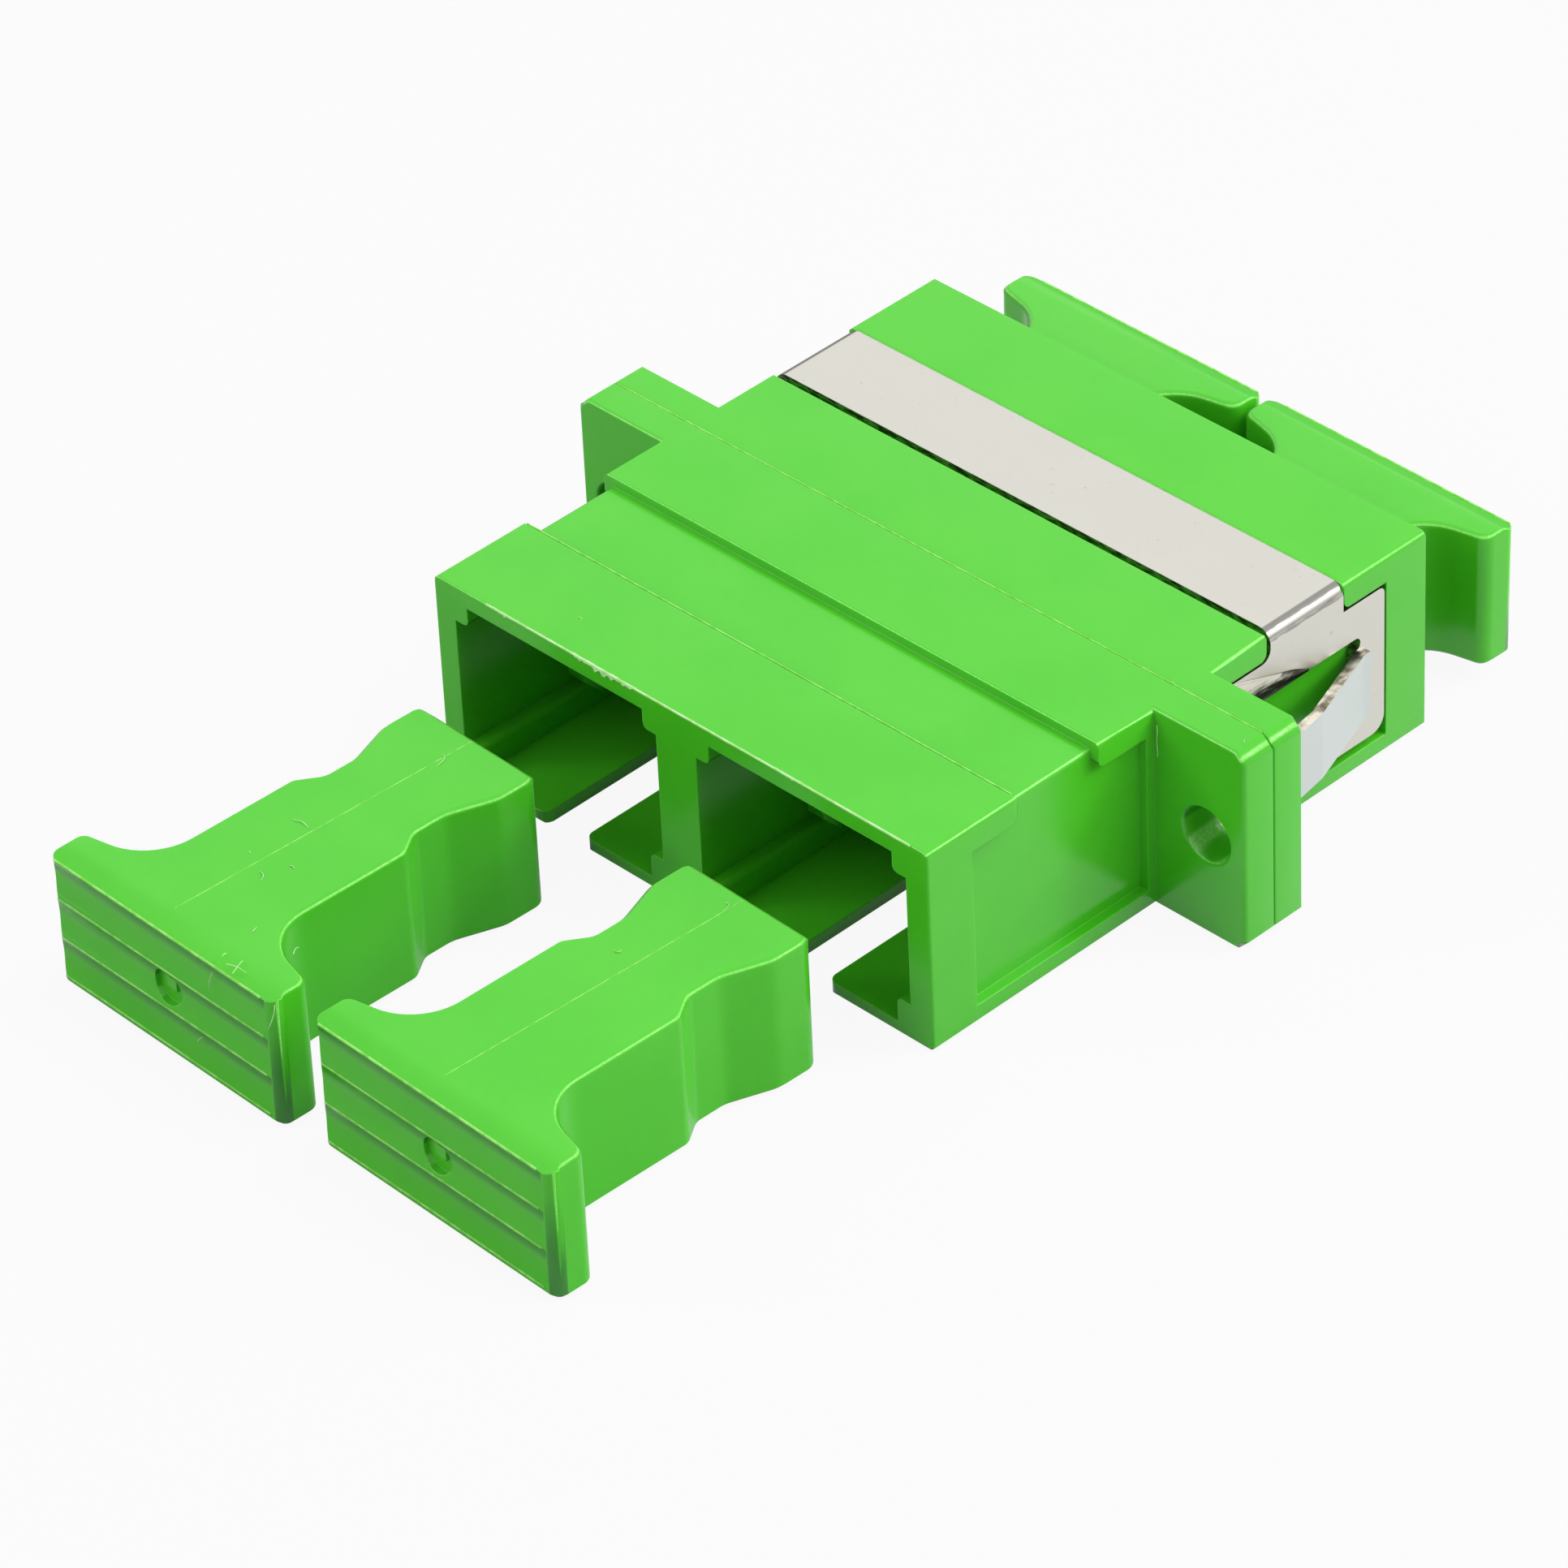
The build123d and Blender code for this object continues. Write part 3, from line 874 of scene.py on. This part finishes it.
@dataclass
class MountingClip:
    """The steel clip, with the rolled edge that the punch left over each window, dark as painted shade.

    Attributes:
        nodes: The solids of the frame, by name.
        finishes: The materials.
        crease: Angle over which its edges stay sharp, in degrees.
        face: Distance of the outer face of its legs from the middle.
        inner: How far inside that face a leg's cut edges reach.
        leg_top: Height of the legs' upper corners.
        roof: Height of the top of its windows.
        crest: Upper line of the rolled edge, as places along Y and heights.
        bulge: How far the roll stands proud.
        root: How deep its edges sit in the leg.
        under: How far it turns under the top of the window.
        leaf: Thickness of the rolled metal.
    """

    nodes: dict
    finishes: Finishes
    crease: float = 15
    face: float = 12.87
    inner: float = 0.5
    leg_top: float = 7.85
    roof: float = 6.2
    crest: tuple[tuple[float, float], ...] = ((2.5, 7.85), (3.8, 7.42), (5.1, 6.95), (6.0, 6.66), (6.8, 6.27))
    bulge: float = 0.07
    root: float = 0.02
    under: float = 0.03
    leaf: float = 0.04

    def build(self) -> None:
        """Make the dressed clip and its two rolled edges."""
        clip = Bench.softened(self.nodes["mounting_clip"], self.crease)
        Bench.hand_over(clip, "clip_strip", self.finishes.steel, "adapter", "spring_steel", "mounting_clip")
        self._dress_cut_edges(clip)
        # The rolled edges are thin bulges, dark as painted shade over each window.
        rolls = Bench.joined([self._roll(side) for side in Column])
        Bench.hand_over(rolls, "clip_rolled_edges", self.finishes.sheared, "adapter", "spring_steel")

    def _dress_cut_edges(self, clip: bpy.types.Object) -> None:
        """Give the sheared edges of the strip their own finish, dark partly as painted shade in the walls of the relief
        holes.

        Args:
            clip: The dressed clip.
        """
        clip.data.materials.append(self.finishes.cut)
        for polygon in clip.data.polygons:
            out = abs(polygon.normal.x)
            on_leg = abs(polygon.center.x) > (self.face - self.inner) * MM and polygon.center.z < self.leg_top * MM
            if out < 0.3 and (on_leg or abs(polygon.normal.y) > 0.5):
                polygon.material_index = 1

    def _crest_height(self, place: float) -> float:
        """Find the height of the upper line of the roll.

        Args:
            place: Where along Y.

        Returns:
            The height there.
        """
        for (y0, z0), (y1, z1) in zip(self.crest, self.crest[1:]):
            if place <= y1:
                return z0 + (z1 - z0) * (place - y0) / (y1 - y0)
        return self.crest[-1][1]

    def _roll(self, side: Column) -> bpy.types.Object:
        """Roll one edge: a crescent that bulges out of the leg and turns under at the window.

        Args:
            side: The leg that it is on.

        Returns:
            The crescent.
        """
        bpy.ops.object.select_all(action="DESELECT")
        bpy.ops.mesh.primitive_grid_add(x_subdivisions=24, y_subdivisions=8, size=1)
        roll = Bench.made()
        front, back = self.crest[0][0], self.crest[-1][0]
        for vertex in roll.data.vertices:
            along, down = vertex.co.x + 0.5, 0.5 - vertex.co.y
            place = front + (back - front) * along
            top = self._crest_height(place)
            height = top + (self.roof - self.under - top) * down
            swell = sin(pi * min(1.0, 0.15 + down * 0.8)) * max(0.0, sin(pi * along)) ** 0.5
            out = self.face - self.root + (self.bulge + self.root) * swell
            vertex.co = (side.value * out * MM, place * MM, height * MM)
        Bench.pick(roll)
        bpy.ops.object.mode_set(mode="EDIT")
        bpy.ops.mesh.select_all(action="SELECT")
        if side is Column.LEFT:
            bpy.ops.mesh.flip_normals()
        bpy.ops.object.mode_set(mode="OBJECT")
        Bench.modify(roll, "SOLIDIFY", thickness=self.leaf * MM, offset=0)
        Bench.pick(roll)
        bpy.ops.object.shade_smooth()
        return roll


@dataclass
class DustCap:
    """A dust cap, with painted highlight lines on its ridges and, on the front ones, its parting lines and lint.

    Attributes:
        nodes: The solids of the frame, by name.
        finishes: The materials.
        row: Its row.
        column: Its port.
        place: Where the end of its head is.
        turn: Its turn about the upright axis, in degrees.
        tilt: Its turn about the level axis, in degrees.
        threads: Lint in the cap's own frame, as runs of five points.
        lint_thickness: Its thickness.
        half_height: Half its height.
        ridge_depth: Distance of the scallops' ridges from the end of the head.
        ridge_levels: Heights of the ridges.
        ridge_span: Where the ridges start and end.
        ridge_thickness: Thickness of the lines on them.
        slack: How far a ridge may be from its own level and depth.
        ridge_least: Least length of a piece of a ridge.
        parting_start: Where the parting line starts, from the end of the head.
        parting_end: Where it ends.
        parting_side: How far beside the middle it ends.
        parting_drift: How far it runs sideways.
        parting_thickness: Its thickness.
    """

    nodes: dict
    finishes: Finishes
    row: Row
    column: Column
    place: Point
    turn: float
    tilt: float = 0.0
    threads: Threads = ()
    lint_thickness: float = 0.032
    half_height: float = 3.015
    ridge_depth: float = 15.55
    ridge_levels: tuple[float, ...] = (2.71, 0.93, -0.85, -2.63)
    ridge_span: tuple[float, float] = (-5.98, 5.6)
    ridge_thickness: float = 0.11
    slack: float = 0.02
    ridge_least: float = 0.4
    parting_start: float = 0.42
    parting_end: float = 14.55
    parting_side: float = -0.28
    parting_drift: float = 0.22
    parting_thickness: float = 0.045

    @property
    def node_name(self) -> str:
        """The name of the cap's solid, which is also the name of its body."""
        return f"dust_cap_{self.row.value}_{self.column.word}"

    @property
    def frame(self) -> Matrix:
        """Where the cap's own frame is."""
        turned = Matrix.Rotation(radians(self.tilt), 4, "X") @ Matrix.Rotation(radians(self.turn), 4, "Z")
        return Matrix.Translation(Vector(self.place) * MM) @ turned

    def build(self) -> None:
        """Make the dressed cap, the painted highlight lines on its ridges, its parting lines and its lint."""
        cap = Bench.softened(self.nodes[self.node_name])
        self._sharpen_ridges(cap)
        Bench.hand_over(cap, f"{self.node_name}_moulding", self.finishes.cap, self.node_name, "cap", self.node_name)
        lines = self._ridge_highlights()
        if self.row is Row.FRONT:
            lines += [self._parting_line(face) for face in (1, -1)]
        # This piece holds the painted ridge highlights and the parting lines.
        Bench.hand_over(Bench.joined(lines), f"{self.node_name}_parting", self.finishes.flash, self.node_name, "cap")
        if self.threads:
            fibres = [Bench.thread(list(points), self.lint_thickness, self.frame) for points in self.threads]
            Bench.hand_over(Bench.joined(fibres), f"{self.node_name}_lint", self.finishes.fibre, self.node_name, "cap")

    def _sharpen_ridges(self, cap: bpy.types.Object) -> None:
        """Keep the ridges between the finger scallops sharp.

        Args:
            cap: The dressed cap.
        """
        own = self.frame.inverted()
        ends = [own @ vertex.co / MM for vertex in cap.data.vertices]
        for edge in cap.data.edges:
            start, end = (ends[k] for k in edge.vertices)
            level = abs(start.z - end.z) < self.slack and abs(start.x - end.x) > self.ridge_least
            if level and max(start.y, end.y) < self.slack - self.ridge_depth:
                edge.use_edge_sharp = True
        Bench.flatten_shading(cap)

    def _ridge_highlights(self) -> list[bpy.types.Object]:
        """Lay a thin pale line along each ridge, a painted highlight.

        Returns:
            One line for each ridge.
        """
        start, end = self.ridge_span
        lines = []
        for level in self.ridge_levels:
            points = [
                (start + (end - start) * k / 4, 0.022 - self.ridge_depth, level + 0.012 * sin(5 * k + level))
                for k in range(5)
            ]
            lines.append(Bench.thread(points, self.ridge_thickness, self.frame))
        return lines

    def _parting_line(self, face: int) -> bpy.types.Object:
        """Lay the thin line of the mould along the top or the underside.

        Args:
            face: 1 for the top, -1 for the underside.

        Returns:
            The line.
        """
        level = face * (self.half_height - 0.004)
        length = self.parting_end - self.parting_start
        points = [
            (self.parting_side + self.parting_drift * (1 - k / 4), -self.parting_start - length * k / 4, level)
            for k in range(5)
        ]
        return Bench.thread(points, self.parting_thickness, self.frame)


@dataclass
class PlainSolids:
    """The inner pieces, which keep their shapes: the latch inserts and the alignment sleeves.

    Attributes:
        nodes: The solids of the frame, by name.
        finishes: The materials.
    """

    nodes: dict
    finishes: Finishes

    def build(self) -> None:
        """Dress every insert and sleeve."""
        for side in Column:
            for row in Row:
                name = f"latch_insert_{row.value}_{side.word}"
                insert = Bench.softened(self.nodes[name])
                Bench.hand_over(insert, f"{name}_moulding", self.finishes.insert, "adapter", "insert", name)
            name = f"alignment_sleeve_{side.word}"
            sleeve = Bench.softened(self.nodes[name])
            Bench.hand_over(sleeve, f"{name}_tube", self.finishes.ceramic, "adapter", "sleeve", name)


def outward(azimuth: float, elevation: float) -> Vector:
    """Find the way out from the object at an angle.

    Args:
        azimuth: Degrees round the object, from -Y towards +X.
        elevation: Degrees over the horizon.

    Returns:
        The direction, with length 1.
    """
    turn, rise = radians(azimuth), radians(elevation)
    return Vector((cos(rise) * sin(turn), -cos(rise) * cos(turn), sin(rise)))


@dataclass
class Lamp:
    """A square soft lamp that points at the object.

    Attributes:
        name: Its name.
        azimuth: Where it hangs, in degrees from -Y towards +X.
        elevation: Its height over the horizon, in degrees.
        size: Its side, in metres.
        power: Its power, in watts.
        mirrored: Whether it shows in shiny surfaces.
        reach: Its distance, in metres.
    """

    name: str
    azimuth: float
    elevation: float
    size: float
    power: float
    mirrored: bool = True
    reach: float = 0.60

    def hang(self, target: Vector) -> None:
        """Put the lamp in its place.

        Args:
            target: The point that it lights.
        """
        away = outward(self.azimuth, self.elevation)
        data = bpy.data.lights.new(self.name, "AREA")
        data.size = self.size
        data.energy = self.power
        lamp = bpy.data.objects.new(self.name, data)
        lamp.location = target + away * self.reach
        lamp.rotation_euler = away.to_track_quat("Z", "Y").to_euler()
        lamp.visible_glossy = self.mirrored
        bpy.context.scene.collection.objects.link(lamp)


@dataclass
class Studio:
    """The camera, the white table and the soft light.

    Attributes:
        azimuth: Direction of the camera round the object, in degrees from -Y towards +X.
        elevation: Height of the camera over the horizon, in degrees.
        roll: Turn of the camera about its own axis, in degrees.
        distance: From the camera to the point that it looks at.
        target: The point that it looks at.
        sensor: Width of the camera's sensor, in millimetres.
        lens: Focal length for that sensor, in millimetres.
        table_size: Side of the table top, in metres.
        table_level: Its height, in millimetres.
        paper: Linear colour that it has for the light.
        glow: How much of its white the camera sees, against its shadows.
        sheen: How bright it is in shiny surfaces.
        sheen_share: Share of that in front of the object, and how much more there is behind it; the dimmer front is a
            painted shadow.
        sky_light: How bright the sky is for the light that falls on the object.
        sky_mirrored: How much brighter it is in shiny surfaces.
        dusk: How much darker it is there near the horizon.
        lamps: The soft lamps.
    """

    azimuth: float = 46.6143
    elevation: float = 36.961
    roll: float = -2.7626
    distance: float = 315.858 * MM
    target: Point = (1.853 * MM, -9.809 * MM, 4.65 * MM)
    sensor: float = 36
    lens: float = 196.7
    table_size: float = 1.6
    table_level: float = -0.02
    paper: Colour = (0.50, 0.50, 0.50)
    glow: float = 0.92
    sheen: float = 1.45
    sheen_share: tuple[float, float] = (0.12, 0.65)
    sky_light: float = 0.34
    sky_mirrored: float = 0.4
    dusk: float = 1.1
    lamps: tuple[Lamp, ...] = (
        Lamp("back_right", azimuth=128, elevation=48, size=0.70, power=4.4, mirrored=False),
        Lamp("right_glint", azimuth=133, elevation=36, size=0.08, power=0.55),
        Lamp("front_left", azimuth=-30, elevation=40, size=0.50, power=1.3, mirrored=False),
        Lamp("left_glint", azimuth=-44, elevation=34, size=0.08, power=0.3),
    )

    def build(self) -> None:
        """Set up the camera, the table, the sky and the lamps."""
        bpy.context.scene.view_settings.view_transform = "Standard"
        self._camera()
        self._table()
        self._sky()
        for lamp in self.lamps:
            lamp.hang(Vector(self.target))

    def _camera(self) -> None:
        """Place the camera at the angle of the photograph."""
        turn, rise, roll = radians(self.azimuth), radians(self.elevation), radians(self.roll)
        back = outward(self.azimuth, self.elevation)
        level = Vector((cos(turn), sin(turn), 0))
        upright = Vector((-sin(rise) * sin(turn), sin(rise) * cos(turn), cos(rise)))
        right = level * cos(roll) + upright * sin(roll)
        up = upright * cos(roll) - level * sin(roll)
        data = bpy.data.cameras.new("camera")
        data.lens = self.lens
        data.sensor_width = self.sensor
        data.clip_start = 0.01
        camera = bpy.data.objects.new("camera", data)
        turned = Matrix((right, up, back)).transposed().to_4x4()
        camera.matrix_world = Matrix.Translation(Vector(self.target) + back * self.distance) @ turned
        bpy.context.scene.collection.objects.link(camera)
        bpy.context.scene.camera = camera

    def _table(self) -> None:
        """Lay a white table top under the object, which keeps a faint shadow."""
        bpy.ops.object.select_all(action="DESELECT")
        bpy.ops.mesh.primitive_plane_add(size=self.table_size, location=(0, 0, self.table_level * MM))
        top = Bench.made()
        top.name = "table"
        sheet, material = Sheet.of_material("table_white")
        paper = sheet.signal("ShaderNodeBsdfDiffuse", "BSDF", Color=(*self.paper, 1.0))
        glow = sheet.signal("ShaderNodeEmission", "Emission", Color=WHITE, Strength=1.0)
        sheen = sheet.signal("ShaderNodeEmission", "Emission", Color=WHITE, Strength=self.sheen)
        place = sheet.signal("ShaderNodeTexCoord", "Object")
        # Painted shadow in reflections: the table is dimmer in front of the object.
        back_right = sheet.part(place, "X") + sheet.part(place, "Y")
        front, more = self.sheen_share
        share = front + back_right.above(-0.02, 0.03) * more
        mirrored = sheet.signal("ShaderNodeLightPath", "Is Glossy Ray") * share
        lit = sheet.signal("ShaderNodeMixShader", "Shader", at_0=mirrored, at_1=paper, at_2=sheen)
        seen = sheet.signal("ShaderNodeLightPath", "Is Camera Ray") * self.glow
        mixed = sheet.signal("ShaderNodeMixShader", "Shader", at_0=seen, at_1=lit, at_2=glow)
        sheet.node("ShaderNodeOutputMaterial", Surface=mixed)
        top.data.materials.append(material)

    def _sky(self) -> None:
        """Surround the scene with a white sky: dimmer for its light, and dark near the horizon in reflections."""
        world = bpy.data.worlds.new("studio")
        world.use_nodes = True
        sheet = Sheet(world.node_tree)
        glossy = sheet.signal("ShaderNodeLightPath", "Is Glossy Ray")
        seen = sheet.signal("ShaderNodeLightPath", "Is Camera Ray").either(glossy)
        rise = sheet.part(sheet.signal("ShaderNodeTexCoord", "Generated"), "Z")
        dusk = glossy * (1.0 - rise.above(0.10, 0.34)) * self.dusk
        strength = 1.0 + glossy * self.sky_mirrored - dusk
        light = sheet.signal("ShaderNodeBackground", "Background", Color=WHITE, Strength=self.sky_light)
        white = sheet.signal("ShaderNodeBackground", "Background", Color=WHITE, Strength=strength)
        mixed = sheet.signal("ShaderNodeMixShader", "Shader", at_0=seen, at_1=light, at_2=white)
        sheet.node("ShaderNodeOutputWorld", Surface=mixed)
        bpy.context.scene.world = world


@dataclass
class CapSet:
    """The four dust caps where they lie and hang.

    Attributes:
        nodes: The solids of the frame, by name.
        finishes: The materials.
        front_apart: Distance of the front caps' heads from the middle.
        front_start: Where their heads end, along Y.
        front_height: Height of their middles.
        front_turn: Their turn about the upright axis, in degrees.
        rear_apart: Distance of the rear caps' heads from the middle.
        rear_start: Where their heads end, along Y.
        rear_hang: Height and turn of the left and the right rear cap.
        rear_tilt: Their turn about the level axis, in degrees.
        left_lint: Lint of the left front cap, in its own frame.
        right_lint: Lint of the right one.
    """

    nodes: dict
    finishes: Finishes
    front_apart: float = 7.12
    front_start: float = -16.6
    front_height: float = 3.065
    front_turn: float = -1.8
    rear_apart: float = 6.4
    rear_start: float = 2.9
    rear_hang: tuple[tuple[float, float], ...] = ((4.185, 179.6), (4.105, 179.15))
    rear_tilt: float = -0.8
    left_lint: Threads = (
        ((0.29, -10.99, 3.03), (0.52, -11.0, 3.06), (0.58, -11.05, 3.07), (0.68, -11.15, 3.05), (0.73, -11.3, 3.03)),
        ((0.82, -10.01, 3.03), (0.9, -9.98, 3.06), (0.98, -9.97, 3.07), (1.04, -9.99, 3.05), (1.09, -10.02, 3.03)),
        ((2.72, -13.22, 3.03), (2.78, -13.28, 3.06), (2.8, -13.35, 3.06), (2.8, -13.42, 3.05), (2.8, -13.5, 3.03)),
        ((-1.19, -8.1, 3.03), (-1.0, -8.2, 3.06), (-0.9, -7.9, 3.08), (-0.8, -8.0, 3.06), (-0.43, -8.05, 3.03)),
        ((-0.23, -1.7, 3.02), (0.0, -1.72, 3.06), (0.1, -1.8, 3.09), (0.12, -2.0, 3.07), (0.15, -2.3, 3.02)),
        ((4.68, -12.91, 3.0), (4.7, -13.0, 3.08), (4.74, -13.1, 3.1), (4.78, -13.18, 3.08), (4.84, -13.3, 3.0)),
        ((4.09, -15.52, 2.98), (4.05, -15.3, 3.06), (4.0, -15.1, 3.1), (3.9, -14.95, 3.08), (3.84, -14.83, 3.02)),
        ((3.53, -15.32, 2.98), (3.75, -15.28, 3.05), (4.0, -15.22, 3.09), (4.2, -15.2, 3.07), (4.45, -15.15, 2.98)),
        ((3.1, -15.15, 3.0), (3.09, -15.1, 3.04), (3.08, -15.05, 3.06), (3.08, -15.0, 3.05), (3.08, -14.95, 3.0)),
        ((2.95, -15.55, 2.45), (2.9, -15.6, 2.2), (2.8, -15.62, 2.0), (2.7, -15.6, 1.75), (2.62, -15.52, 1.5)),
        ((6.3, -15.45, 2.72), (6.36, -15.5, 2.5), (6.3, -15.62, 2.1), (6.1, -15.62, 1.75), (5.9, -15.52, 1.4)),
        ((1.92, -15.5, -1.16), (1.85, -15.58, -1.2), (1.76, -15.6, -1.3), (1.68, -15.58, -1.42), (1.6, -15.5, -1.53)),
        ((-0.9, -10.52, 3.02), (-0.87, -10.5, 3.05), (-0.85, -10.5, 3.06), (-0.83, -10.5, 3.05), (-0.8, -10.54, 3.02)),
    )
    right_lint: Threads = (
        ((-1.19, -5.62, 3.02), (-1.12, -5.66, 3.06), (-1.02, -5.66, 3.08), (-0.98, -5.58, 3.06), (-1.07, -5.45, 3.02)),
        ((-0.4, -1.0, 3.02), (-0.25, -0.9, 3.06), (-0.15, -0.95, 3.08), (-0.1, -1.1, 3.06), (-0.12, -1.35, 3.02)),
    )

    def build(self) -> None:
        """Make the four caps, the front ones first."""
        for side, lint in zip(Column, (self.left_lint, self.right_lint)):
            place = (side.value * self.front_apart, self.front_start, self.front_height)
            DustCap(self.nodes, self.finishes, Row.FRONT, side, place, self.front_turn, threads=lint).build()
        for side, (height, turn) in zip(Column, self.rear_hang):
            place = (side.value * self.rear_apart, self.rear_start, height)
            DustCap(self.nodes, self.finishes, Row.REAR, side, place, turn, self.rear_tilt).build()


def main() -> None:
    """Build the picture."""
    logging.basicConfig(level=logging.INFO, format="%(message)s")
    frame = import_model()
    nodes = frame["nodes"]
    Studio().build()
    finishes = Finishes()
    for row in Row:
        HousingHalf(nodes, finishes, row).build()
    MountingClip(nodes, finishes).build()
    PlainSolids(nodes, finishes).build()
    CapSet(nodes, finishes).build()


if __name__ == "__main__":
    main()
